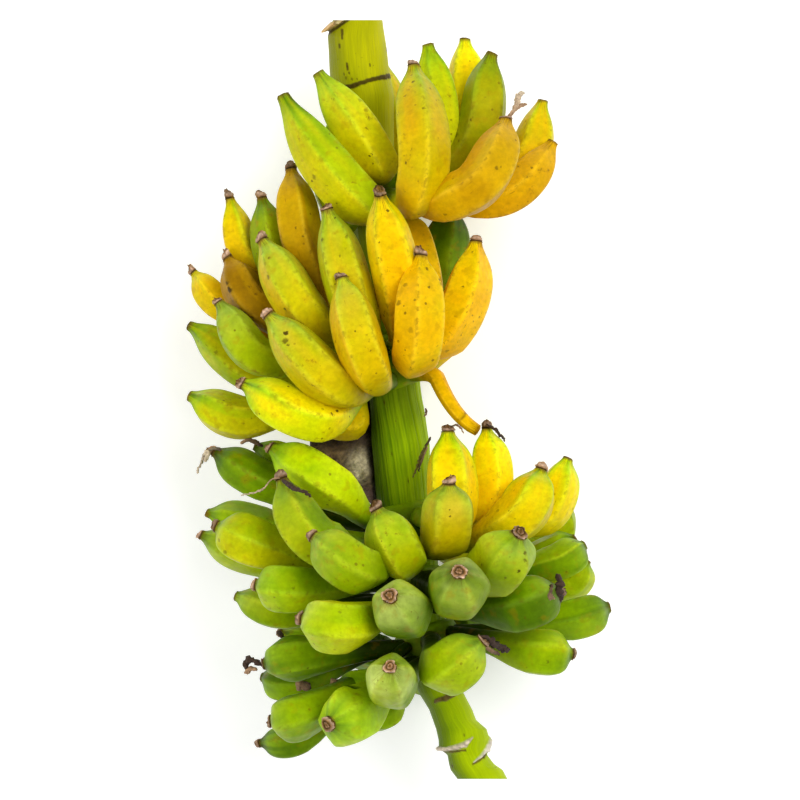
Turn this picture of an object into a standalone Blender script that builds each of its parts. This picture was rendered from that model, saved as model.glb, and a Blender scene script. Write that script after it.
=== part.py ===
"""A whole bunch of short, angular bananas on its cut stalk, lying on its back.

+Y runs up the stalk as it grew, +Z is the side that the hands show, and z = 0 is the surface it lies on.
"""
import math

import bmesh
import bpy
import numpy as np
from mathutils import Vector

# The plan: fingers are placed by where they are seen from straight above, as (across, down, height in mm).
# Its middle is over the stalk, and things nearer the eye are seen larger.
PLAN_UNIT = 0.0008          # metres in one unit of the plan, at the height of the stalk's axis
PLAN_MIDDLE = (400.0, 400.0)
EYE_HEIGHT = 2.4            # metres above the stalk's axis
AXIS_HEIGHT = 0.104         # the stalk's axis above the surface it lies on
MILLIMETRE = 0.001

STALK_TOP = 20              # where the stalk is cut, down the plan
STALK_END = 779
STALK_SIDES = 16
RING_SCAR = (82, 3.0, 1.3)  # down the plan, half width of the ridge, how far it stands out in mm
FIT_GAP = 0.0003            # between a hand and the stalk it grew on

FINGER_SIDES = 10           # five soft ribs, with a flat between each two
RIB_REACH = 1.05            # a rib's distance from the middle, as a share of the finger's radius
FLAT_REACH = 0.91           # the same for the flats between ribs
ROLL_STEP = 0.5             # how much further each finger is rolled about its length than the one before
ROLL_FROM = (0.3, 0.1, 1.0)
CROWN_SIDES = 12
CROWN_THICK = 8.0           # how far a crown stands out of the stalk, in mm
STERILE_TIP = 0.68          # the thin sterile finger's end, as a share of its radius

# The stalk as (across, down, half width in the plan, half depth in mm); its outline swells at old scars
STALK = (
    (358, 20, 25, 21),
    (356.5, 37, 28.5, 22.5),
    (358.5, 60, 29.5, 23.5),
    (360, 76, 30, 24),
    (363.5, 95, 29.5, 23.5),
    (366, 145, 28, 22.5),
    (378, 240, 27, 22),
    (393, 370, 25.5, 21),
    (395.5, 400, 26.5, 21),
    (401, 445, 28.5, 21.5),
    (404, 500, 27, 20.5),
    (418, 600, 24, 19),
    (436, 680, 22, 17.5),
    (441, 693, 22, 17.5),
    (451.5, 710, 21.5, 17),
    (455.5, 720, 21.5, 17),
    (462, 729, 25, 17.5),
    (464.5, 740, 25.5, 18.5),
    (463.5, 748, 24.5, 18),
    (467.5, 755, 20, 16.5),
    (471.5, 764, 22.5, 17.5),
    (476.5, 770, 26, 18),
    (482, 779, 25, 18.5),
)

# Each crown's two rows of fingers, down the plan
CROWNS = {
    "hand_1": (182, 200),
    "hand_2": (348, 380),
    "hand_3": (518, 546),
    "hand_4": (580, 602),
    "hand_5": (640, 660),
}

# How much higher each crown grows on its right, for each unit across
CROWN_TILT = {"hand_1": 0.0, "hand_2": 0.35, "hand_3": 0.2, "hand_4": 0.0, "hand_5": 0.3}

# Fingers of each hand: tip, belly, half width in the plan, row on the crown, bow to the side, and taper.
# The belly is the thick lower turn, where the finger stops growing outward and turns up to its tip.
# A taper below 1 narrows early towards the tip, and one above 1 late.
FINGERS = {
    "hand_1": (
        ((283, 96, 50), (362, 203, 62), 27, 1, (-3, 3), 0.85),
        ((318, 73, 40), (378, 165, 43), 25, 0, (0, 0), 0.9),
        ((414, 67, 66), (420, 187, 98), 26.5, 1, (0, 0), 1.2),
        ((428, 45, 28), (436, 148, 31), 23, 0, (2, 0), 1),
        ((465, 40, 0), (465, 125, 5), 22, 0, (0, 0), 1),
        ((492, 54, 38), (474, 145, 42), 23.5, 0, (-3, 0), 1),
        ((506, 120, 90), (461, 195, 108), 26, 1, (6, 3), 1.1),
        ((543, 101, 28), (515, 170, 30), 21, 0, (1, 1), 0.9),
        ((553, 142, 55), (486, 199, 62), 21.5, 0, (5, 5), 1),
        ((382, 62, -45), (392, 150, -45), 20, 0, (0, 0), 1),
        ((318, 165, 12), (348, 217, 26), 19, 1, (0, 0), 1),
        ((437, 85, -45), (440, 165, -50), 22, 0, (0, 0), 1),
        ((335, 110, -62), (352, 192, -90), 22, 1, (0, 0), 1),
        ((490, 125, -62), (468, 190, -90), 22, 1, (0, 0), 1),
    ),
    "hand_2": (
        ((380, 195, 118), (402, 315, 78), 24, 0, (0, 0), 1.2),
        ((327, 210, 82), (358, 320, 80), 25.5, 0, (0, 0), 1.1),
        ((291, 170, 32), (306, 255, 45), 23, 0, (0, 0), 1),
        ((230, 199, 10), (257, 272, 8), 18.5, 0, (-2, 0), 0.95),
        ((262, 199, 22), (284, 275, 27), 21, 0, (0, 0), 1),
        ((263, 241, 60), (310, 318, 70), 24, 0, (0, 0), 1.1),
        ((228, 259, 28), (256, 305, 36), 22, 0, (0, 0), 1),
        ((194, 273, 0), (223, 305, 6), 17, 1, (0, 0), 0.85),
        ((219, 303, 50), (262, 358, 58), 20.5, 0, (0, 0), 0.95),
        ((190, 326, 14), (252, 372, 22), 21, 1, (2, -3), 0.85),
        ((269, 316, 95), (335, 384, 103), 26, 1, (0, 0), 1.1),
        ((342, 279, 106), (367, 363, 119), 26, 1, (0, 0), 1.1),
        ((421, 256, 108), (416, 351, 112), 26, 0, (0, 0), 1.1),
        ((476, 242, 60), (443, 336, 64), 25, 0, (5, 0), 1),
        ((407, 215, 34), (424, 294, 50), 22.5, 0, (0, 0), 1.6),
        ((244, 384, 85), (316, 420, 92), 25, 1, (0, 0), 1.1),
        ((190, 396, 20), (246, 418, 28), 23, 1, (0, 0), 0.9),
        ((300, 400, 20), (352, 422, 15), 19, 1, (0, 0), 1),
        ((452, 206, 4), (437, 288, 4), 26, 0, (0, 0), 1),
        ((340, 240, -40), (370, 330, -70), 22, 0, (0, 0), 1),
        ((430, 250, -50), (425, 340, -80), 22, 1, (0, 0), 1),
        ((270, 290, -30), (320, 360, -60), 22, 1, (0, 0), 1),
        ((458, 285, -25), (440, 345, -45), 18, 1, (0, 0), 1),
        ((345, 330, -20), (372, 385, -58), 20, 1, (0, 0), 1),
    ),
    "hand_3": (
        ((215, 452, 15), (264, 482, 22), 21, 0, (0, 0), 0.9),
        ((272, 448, 50), (335, 488, 60), 26, 0, (0, 0), 1),
        ((282, 480, 90), (325, 545, 96), 26, 1, (-3, 5), 1),
        ((208, 513, -10), (262, 525, -2), 19, 1, (0, 0), 1),
        ((377, 510, 118), (401, 556, 118), 27, 1, (0, 0), 1),
        ((448, 432, 72), (449, 518, 76), 27, 0, (0, 0), 1.1),
        ((449, 484, 116), (446, 534, 107), 27, 1, (0, 0), 1.1),
        ((487, 429, 50), (487, 500, 50), 21, 0, (0, 0), 1),
        ((541, 470, 80), (511, 522, 85), 26.5, 1, (3, 0), 1.1),
        ((568, 459, 45), (541, 517, 47), 21, 0, (0, 0), 1.15),
        ((563, 499, -3), (550, 545, -17), 18, 1, (0, 0), 1),
        ((314, 537, 130), (358, 568, 138), 26.5, 1, (0, 0), 1),
        ((400, 470, -60), (405, 528, -82), 22, 0, (0, 0), 1),
        ((325, 480, -40), (350, 530, -72), 22, 1, (0, 0), 1),
        ((480, 480, -40), (461, 544, -70), 22, 1, (0, 0), 1),
        ((255, 446, 0), (300, 470, 0), 18, 0, (0, 0), 1),
    ),
    "hand_4": (
        ((218, 527, 50), (258, 545, 60), 26, 0, (0, 0), 1),
        ((202, 535, 23), (252, 556, 27), 20, 1, (0, 0), 0.85),
        ((257, 585, 77), (294, 588, 85), 25, 0, (0, 0), 1),
        ((236, 596, 25), (286, 612, 33), 20, 1, (0, 0), 0.85),
        ((304, 619, 130), (345, 625, 142), 29, 1, (0, 0), 1),
        ((390, 596, 180), (405, 613, 140), 30, 1, (0, 0), 1),
        ((459, 572, 184), (457, 591, 151), 31, 0, (0, 0), 1),
        ((519, 534, 145), (498, 566, 126), 32, 0, (0, 0), 1),
        ((559, 590, 95), (518, 607, 100), 27, 1, (0, 0), 1),
        ((575, 538, 19), (545, 553, 17), 17, 0, (0, 0), 1),
        ((584, 545, 33), (557, 563, 40), 20, 0, (0, 0), 1),
        ((587, 561, -10), (568, 587, -10), 17, 1, (0, 0), 1),
        ((335, 560, -58), (361, 615, -93), 22, 1, (0, 0), 1),
        ((505, 560, -58), (482, 608, -92), 22, 1, (0, 0), 1),
    ),
    "hand_5": (
        ((390, 667, 165), (394, 686, 112), 25.5, 1, (0, 0), 1.5),
        ((482, 641, 125), (446, 668, 120), 29, 0, (0, 0), 1),
        ((572, 654, 60), (532, 652, 65), 24, 0, (0, 0), 1),
        ((609, 607, 25), (570, 619, 30), 22, 0, (0, 0), 1),
        ((265, 664, 60), (305, 657, 70), 24, 0, (0, 0), 1),
        ((262, 677, 20), (295, 683, 30), 18, 0, (0, 0), 1),
        ((329, 724, 120), (355, 714, 95), 30, 1, (0, 0), 1),
        ((272, 721, 75), (300, 716, 80), 25, 1, (0, 0), 1),
        ((261, 743, 20), (300, 738, 30), 17, 1, (0, 0), 0.9),
        ((365, 715, 50), (385, 710, 45), 20, 1, (0, 0), 1),
        ((338, 683, 45), (375, 680, 50), 15, 0, (0, 0), 1),
        ((281, 633, 0), (320, 645, 0), 18, 0, (0, 0), 1),
        ((425, 625, -50), (428, 678, -80), 22, 0, (0, 0), 1),
        ((464, 606, -22), (459, 651, -44), 20, 0, (0, 0), 1),
        ((322, 624, -34), (382, 655, -50), 22, 0, (0, 0), 1),
    ),
}
STERILE_FINGER = ((477, 430, 66), (437, 378, 44), 9, 1, (-5, 4), 1)

# A finger's radius along it, as (share of the way, share of its largest radius)
FROM_CROWN = ((0.0, 0.40), (0.35, 0.44), (0.65, 0.62), (0.85, 0.84), (1.0, 0.97))
TO_TIP = ((0.0, 0.97), (0.2, 1.0), (0.4, 0.99), (0.58, 0.91), (0.74, 0.72), (0.86, 0.46), (0.93, 0.31), (1.0, 0.24))
BASE_STEPS = (0.0, 0.62)
BODY_STEPS = (0.0, 0.32, 0.62, 0.85, 1.0)

# The papery bract beside the stalk, under the middle hand
BRACT_TOP = 448
BRACT_BOTTOM = 494
BRACT_LEFT = 326
BRACT_THICK = 0.0018
BRACT_CELLS = (6, 6)
FLAT_ENOUGH = math.radians(0.5)     # faces that meet flatter than this are joined after a union

SKINS = {
    "hand_1": (0.70, 0.55, 0.02),
    "hand_2": (0.80, 0.52, 0.02),
    "hand_3": (0.50, 0.52, 0.03),
    "hand_4": (0.28, 0.42, 0.04),
    "hand_5": (0.22, 0.40, 0.03),
}


def material(name, colour, roughness):
    """A Principled material with the part's colour."""
    made = bpy.data.materials.new(name)
    made.use_nodes = True
    shader = made.node_tree.nodes["Principled BSDF"]
    shader.inputs["Base Color"].default_value = (*colour, 1.0)
    shader.inputs["Roughness"].default_value = roughness
    shader.inputs["Metallic"].default_value = 0.0
    return made


def unit_at(height):
    """Metres in one unit of the plan at a height above the stalk's axis."""
    return PLAN_UNIT * (EYE_HEIGHT - height) / EYE_HEIGHT


def place(across, down, height_mm):
    """A point of the plan in metres."""
    height = height_mm * MILLIMETRE
    unit = unit_at(height)
    x = (across - PLAN_MIDDLE[0]) * unit
    y = (PLAN_MIDDLE[1] - down) * unit
    return np.array([x, y, AXIS_HEIGHT + height])


def bump(down, scar):
    """How far a scar stands out of the stalk at a place, in mm."""
    middle, half_width, size = scar
    return size * max(0.0, 1.0 - abs(down - middle) / half_width)


def stalk_row(down):
    """The stalk's place across the plan, half width there and half depth in mm, at a place down the plan."""
    places = [row[1] for row in STALK]
    return [np.interp(down, places, [row[column] for row in STALK]) for column in (0, 2, 3)]


def stalk_at(down):
    """The stalk's axis and half width at a place down the plan, in metres."""
    across, half_width, _ = stalk_row(down)
    return place(across, down, 0.0), half_width * PLAN_UNIT


def stalk_ring(down, extra_mm, sides, tilt=0.0):
    """The stalk's section at a place down the plan, grown by some mm; a tilted one is higher on the right."""
    across, half_width, half_depth = stalk_row(down)
    half_width += extra_mm * MILLIMETRE / PLAN_UNIT
    half_depth += extra_mm
    angles = [2 * math.pi * corner / sides for corner in range(sides)]
    aside = [half_width * math.cos(a) for a in angles]
    return [place(across + s, down - tilt * s, half_depth * math.sin(a)) for s, a in zip(aside, angles)]


def hermite(start, start_pull, end, end_pull, share):
    """A point on the cubic between two points with given pulls."""
    square = share * share
    cube = square * share
    stay = (2 * cube - 3 * square + 1) * start + (3 * square - 2 * cube) * end
    return stay + (cube - 2 * square + share) * start_pull + (cube - square) * end_pull


def profile(table, share):
    """A value read from a table of (share, value)."""
    return np.interp(share, [row[0] for row in table], [row[1] for row in table])


def finger_line(finger, crown, tilt):
    """Points along a finger's middle and the radius at each."""
    tip, belly, half_width, row, bow, taper = finger
    tip_at = place(*tip)
    belly_at = place(*belly)
    radius = half_width * unit_at(belly[2] * MILLIMETRE)
    axis, stalk_radius = stalk_at(crown[row])
    outward = np.array([belly_at[0] - axis[0], 0.0, belly_at[2] - axis[2]])
    outward = outward / np.linalg.norm(outward)
    root = axis + outward * (stalk_radius + 0.004)
    root[1] += tilt * (root[0] - axis[0])
    base_length = np.linalg.norm(belly_at - root)
    length = np.linalg.norm(tip_at - belly_at)
    through = (tip_at - root) / np.linalg.norm(tip_at - root)
    side = np.array([bow[0] * PLAN_UNIT, -bow[1] * PLAN_UNIT, 0.0])
    belly_pull = through * length + 4 * side
    tip_pull = tip_at - belly_at - 4 * side
    points = []
    radii = []
    for share in BASE_STEPS:
        points.append(hermite(root, outward * base_length * 1.2, belly_at, through * base_length, share))
        radii.append(radius * profile(FROM_CROWN, share))
    for share in BODY_STEPS:
        points.append(hermite(belly_at, belly_pull, tip_at, tip_pull, share))
        radii.append(radius * profile(TO_TIP, share ** taper))
    return points, radii


def finger_rings(points, radii, roll, ribbed=True):
    """Sections of a finger along its middle; every other corner stands out as a rib."""
    rings = []
    across = Vector(ROLL_FROM)
    for index, point in enumerate(points):
        before = points[max(index - 1, 0)]
        after = points[min(index + 1, len(points) - 1)]
        along = Vector(after - before).normalized()
        across = (across - along * across.dot(along)).normalized()
        over = along.cross(across)
        ring = []
        for corner in range(FINGER_SIDES):
            angle = 2 * math.pi * corner / FINGER_SIDES + roll
            reach = radii[index]
            if ribbed:
                reach *= RIB_REACH if corner % 2 == 0 else FLAT_REACH
            ring.append(Vector(point) + (across * math.cos(angle) + over * math.sin(angle)) * reach)
        rings.append(ring)
    return rings


def tube(name, sections):
    """A closed tube with flat ends through sections."""
    shape = bmesh.new()
    rings = [[shape.verts.new(at) for at in section] for section in sections]
    sides = len(rings[0])
    for low, high in zip(rings, rings[1:]):
        for corner in range(sides):
            following = (corner + 1) % sides
            shape.faces.new((low[corner], low[following], high[following], high[corner]))
    shape.faces.new(list(reversed(rings[0])))
    shape.faces.new(rings[-1])
    bmesh.ops.triangulate(shape, faces=shape.faces[:])
    bmesh.ops.recalc_face_normals(shape, faces=shape.faces[:])
    mesh = bpy.data.meshes.new(name)
    shape.to_mesh(mesh)
    shape.free()
    made = bpy.data.objects.new(name, mesh)
    bpy.context.scene.collection.objects.link(made)
    return made


def stalk_shape(name, extra_mm=0.0):
    """The stalk, or with extra the room that it needs."""
    places = [row[1] for row in STALK]
    if extra_mm:
        places = [STALK_TOP - 10] + places + [STALK_END + 10]
    else:
        middle, half_width, _ = RING_SCAR
        places += [middle - half_width, middle, middle + half_width]
    places = sorted(set(places))
    sections = []
    for down in places:
        grown = extra_mm if extra_mm else bump(down, RING_SCAR)
        sections.append(stalk_ring(down, grown, STALK_SIDES))
    return tube(name, sections)


def crown_shape(name, crown, tilt):
    """The cushion round the stalk that a hand's fingers grow from."""
    upper, lower = crown
    steps = ((upper - 14, 0.15), (upper - 8, 0.8), (0.5 * (upper + lower), 1.0), (lower + 2, 0.8), (lower + 8, 0.15))
    return tube(name, [stalk_ring(down, share * CROWN_THICK, CROWN_SIDES, tilt) for down, share in steps])


def boolean(target, operation, solver, cutter=None, collection=None):
    """One Boolean, applied."""
    modifier = target.modifiers.new("join", "BOOLEAN")
    modifier.operation = operation
    modifier.solver = solver
    if collection:
        modifier.operand_type = "COLLECTION"
        modifier.collection = collection
    else:
        modifier.object = cutter
    graph = bpy.context.evaluated_depsgraph_get()
    mesh = bpy.data.meshes.new_from_object(target.evaluated_get(graph))
    target.modifiers.clear()
    target.data = mesh


def hand(name, room_for_stalk, more=()):
    """One hand: its crown and fingers grown together, with the stalk's room cut out."""
    crown = CROWNS[name]
    tilt = CROWN_TILT[name]
    body = crown_shape(name, crown, tilt)
    group = bpy.data.collections.new(name + "_fingers")
    bpy.context.scene.collection.children.link(group)
    pieces = []
    for number, finger in enumerate(FINGERS[name]):
        points, radii = finger_line(finger, crown, tilt)
        pieces.append(tube(f"{name}_{number}", finger_rings(points, radii, ROLL_STEP * number)))
    pieces.extend(more)
    for piece in pieces:
        group.objects.link(piece)
    boolean(body, "UNION", "MANIFOLD", collection=group)
    for piece in pieces:
        bpy.data.objects.remove(piece)
    bpy.data.collections.remove(group)
    boolean(body, "DIFFERENCE", "MANIFOLD", cutter=room_for_stalk)
    keep_outer(body)
    return body


def keep_outer(body):
    """Fills hollows that the union sealed and drops loose scraps: only the largest shell stays."""
    shape = bmesh.new()
    shape.from_mesh(body.data)
    shells = []
    seen = set()
    for start in shape.verts:
        if start in seen:
            continue
        shell = {start}
        waiting = [start]
        while waiting:
            for edge in waiting.pop().link_edges:
                for vertex in edge.verts:
                    if vertex not in shell:
                        shell.add(vertex)
                        waiting.append(vertex)
        seen |= shell
        shells.append(shell)
    shells.sort(key=len, reverse=True)
    for shell in shells[1:]:
        bmesh.ops.delete(shape, geom=list(shell), context="VERTS")
    bmesh.ops.dissolve_limit(shape, angle_limit=FLAT_ENOUGH, verts=shape.verts[:], edges=shape.edges[:])
    bmesh.ops.triangulate(shape, faces=shape.faces[:])
    shape.to_mesh(body.data)
    shape.free()


def sterile_finger():
    """The thin finger that never filled, under the middle hand."""
    points, radii = finger_line(STERILE_FINGER, CROWNS["hand_2"], CROWN_TILT["hand_2"])
    full = max(radii)
    count = len(points)
    radii = [full * (1 - (1 - STERILE_TIP) * index / (count - 1)) for index in range(count)]
    return tube("sterile", finger_rings(points, radii, 0.0, ribbed=False))


def rest_on_floor(body):
    """Cuts a hand level with the surface it lies on."""
    shape = bmesh.new()
    shape.from_mesh(body.data)
    geometry = shape.verts[:] + shape.edges[:] + shape.faces[:]
    cut = bmesh.ops.bisect_plane(shape, geom=geometry, plane_co=(0, 0, 0), plane_no=(0, 0, -1), clear_outer=True)
    rim = [part for part in cut["geom_cut"] if isinstance(part, bmesh.types.BMEdge)]
    if rim:
        bmesh.ops.contextual_create(shape, geom=rim)
        bmesh.ops.holes_fill(shape, edges=shape.edges[:], sides=0)
    bmesh.ops.triangulate(shape, faces=[face for face in shape.faces if len(face.verts) > 3])
    shape.to_mesh(body.data)
    shape.free()


def bract():
    """A dried, papery bract: a thin cupped sheet that stands beside the stalk."""
    columns, rows = BRACT_CELLS
    front = []
    back = []
    shape = bmesh.new()
    for row in range(rows + 1):
        down = BRACT_TOP + (BRACT_BOTTOM - BRACT_TOP) * row / rows
        axis, radius = stalk_at(down)
        right = axis[0] - radius - 2 * FIT_GAP - BRACT_THICK
        left = place(BRACT_LEFT + 22 * (row / rows) ** 1.5, down, 0)[0]
        for column in range(columns + 1):
            share = column / columns
            cup = 0.007 * math.sin(math.pi * share) + 0.002 * math.sin(2.2 * row + 5 * share)
            height = AXIS_HEIGHT - 0.006 + cup + 0.006 * row / rows
            at = Vector((left + (right - left) * share, axis[1], height))
            front.append(shape.verts.new(at + Vector((0, 0, BRACT_THICK / 2))))
            back.append(shape.verts.new(at - Vector((0, 0, BRACT_THICK / 2))))
    wide = columns + 1
    for row in range(rows):
        for column in range(columns):
            a = row * wide + column
            corners = (a, a + wide, a + wide + 1, a + 1)
            shape.faces.new([front[c] for c in corners])
            shape.faces.new([back[c] for c in reversed(corners)])
    rim = [row * wide for row in range(rows + 1)]
    rim += [rows * wide + column for column in range(1, wide)]
    rim += [row * wide + columns for row in range(rows - 1, -1, -1)]
    rim += [column for column in range(columns - 1, 0, -1)]
    for here, following in zip(rim, rim[1:] + rim[:1]):
        shape.faces.new((front[following], front[here], back[here], back[following]))
    bmesh.ops.triangulate(shape, faces=shape.faces[:])
    bmesh.ops.recalc_face_normals(shape, faces=shape.faces[:])
    mesh = bpy.data.meshes.new("bract")
    shape.to_mesh(mesh)
    shape.free()
    made = bpy.data.objects.new("bract", mesh)
    bpy.context.scene.collection.objects.link(made)
    return made


def centre_on_floor(parts):
    """Moves every mesh so that the bunch's middle is over the origin."""
    corners = [part.matrix_world @ vertex.co for part in parts for vertex in part.data.vertices]
    middle_x = 0.5 * (min(c.x for c in corners) + max(c.x for c in corners))
    middle_y = 0.5 * (min(c.y for c in corners) + max(c.y for c in corners))
    for part in parts:
        for vertex in part.data.vertices:
            vertex.co.x -= middle_x
            vertex.co.y -= middle_y


def build():
    """Makes the whole bunch."""
    for old in list(bpy.data.objects):
        bpy.data.objects.remove(old)
    stalk = stalk_shape("stalk")
    stalk.data.materials.append(material("stalk_skin", (0.42, 0.50, 0.03), 0.6))
    room = stalk_shape("stalk_room", FIT_GAP / MILLIMETRE)
    parts = [stalk]
    for name in FINGERS:
        more = (sterile_finger(),) if name == "hand_2" else ()
        made = hand(name, room, more)
        rest_on_floor(made)
        made.data.materials.clear()
        made.data.materials.append(material(name + "_skin", SKINS[name], 0.5))
        parts.append(made)
    bpy.data.objects.remove(room)
    dry = bract()
    dry.data.materials.append(material("dry_bract", (0.30, 0.22, 0.14), 0.9))
    parts.append(dry)
    centre_on_floor(parts)
    for part in parts:
        part.data.shade_smooth()
        part.data.set_sharp_from_angle(angle=math.radians(50))


build()
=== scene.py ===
"""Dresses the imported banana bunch: finer fingers, stalk, bract and dried flowers, with their colours."""
from collections import namedtuple
import math

import bpy
import numpy as np
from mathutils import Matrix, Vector
from mathutils.bvhtree import BVHTree


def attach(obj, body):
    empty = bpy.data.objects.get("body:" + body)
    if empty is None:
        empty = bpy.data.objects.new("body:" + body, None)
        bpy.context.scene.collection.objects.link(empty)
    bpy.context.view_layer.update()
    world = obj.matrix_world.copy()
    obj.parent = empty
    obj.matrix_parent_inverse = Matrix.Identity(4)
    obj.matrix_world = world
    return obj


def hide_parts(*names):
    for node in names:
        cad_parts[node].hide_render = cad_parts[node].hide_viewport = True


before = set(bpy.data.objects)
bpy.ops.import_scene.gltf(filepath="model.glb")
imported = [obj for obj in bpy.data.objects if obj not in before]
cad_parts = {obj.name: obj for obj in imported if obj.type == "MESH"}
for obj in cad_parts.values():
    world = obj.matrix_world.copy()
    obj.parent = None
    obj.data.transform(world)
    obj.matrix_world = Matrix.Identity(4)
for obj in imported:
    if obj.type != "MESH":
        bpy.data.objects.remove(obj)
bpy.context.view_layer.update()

# The plan that the fingers are placed by, as in the part's source: (across, down, height in mm),
# seen from straight above; its middle is over the stalk.
PLAN_UNIT = 0.0008          # metres for one unit at the height of the stalk's axis
PLAN_MIDDLE = (400.0, 400.0)
EYE_HEIGHT = 2.4            # how far above the stalk's axis the plan is seen from, in metres
AXIS_HEIGHT = 0.104         # the stalk's axis above the ground
MILLIMETRE = 0.001
CENTRED_BY = (0.00110, -0.00056)    # the move that puts the bunch's middle over the origin

STALK_TOP = 20              # where the stalk starts and ends down the plan
STALK_END = 779
CROWN_THICK = 8.0           # how far a crown stands out of the stalk, in mm
STERILE_TIP = 0.68          # the thin sterile finger's end, as a share of its radius
RIB_REACH = 1.05            # a rib's distance from the middle, as a share of the finger's radius
FLAT_REACH = 0.91           # the same for the flats between ribs
ROLL_STEP = 0.5             # how much further each finger is rolled about its length than the one before
ROLL_FROM = (0.3, 0.1, 1.0)     # the direction that the roll is counted from
ROOT_GAP = 0.004            # how far from the stalk a finger's middle line starts
ROOT_PULL = 1.2             # how strongly a finger leaves the stalk outward, against its base's length
BOW_PULL = 4                # how strongly a finger bows aside for its bow in the plan
RIB_ANGLE = 0.10            # half the angle that a rib's worn edge takes

# The stalk as (across, down, half width in the plan, half depth in mm); its outline swells at old scars
STALK = (
    (358, 20, 25, 21),
    (356.5, 37, 28.5, 22.5),
    (358.5, 60, 29.5, 23.5),
    (360, 76, 30, 24),
    (363.5, 95, 29.5, 23.5),
    (366, 145, 28, 22.5),
    (378, 240, 27, 22),
    (393, 370, 25.5, 21),
    (395.5, 400, 26.5, 21),
    (401, 445, 28.5, 21.5),
    (404, 500, 27, 20.5),
    (418, 600, 24, 19),
    (436, 680, 22, 17.5),
    (441, 693, 22, 17.5),
    (451.5, 710, 21.5, 17),
    (455.5, 720, 21.5, 17),
    (462, 729, 25, 17.5),
    (464.5, 740, 25.5, 18.5),
    (463.5, 748, 24.5, 18),
    (467.5, 755, 20, 16.5),
    (471.5, 764, 22.5, 17.5),
    (476.5, 770, 26, 18),
    (482, 779, 25, 18.5),
)

# Each hand: its crown's two rows of fingers down the plan, how much higher the crown grows on its right for
# each unit across, how long the dried stubs are as a share of DRIED_TIP, the material, how speckled it is,
# and the slot
Hand = namedtuple("Hand", "rows tilt stubs look speckle slot")
HANDS = {
    "hand_1": Hand((182, 200), 0.0, 0.8, "skin_turning", 0.80, "ripe_skin"),
    "hand_2": Hand((348, 380), 0.35, 1.0, "skin_ripe", 0.95, "ripe_skin"),
    "hand_3": Hand((518, 546), 0.2, 0.95, "skin_mixed", 0.80, "turning_skin"),
    "hand_4": Hand((580, 602), 0.0, 0.7, "skin_green", 0.65, "green_skin"),
    "hand_5": Hand((640, 660), 0.3, 0.6, "skin_low", 0.65, "green_skin"),
}

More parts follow.
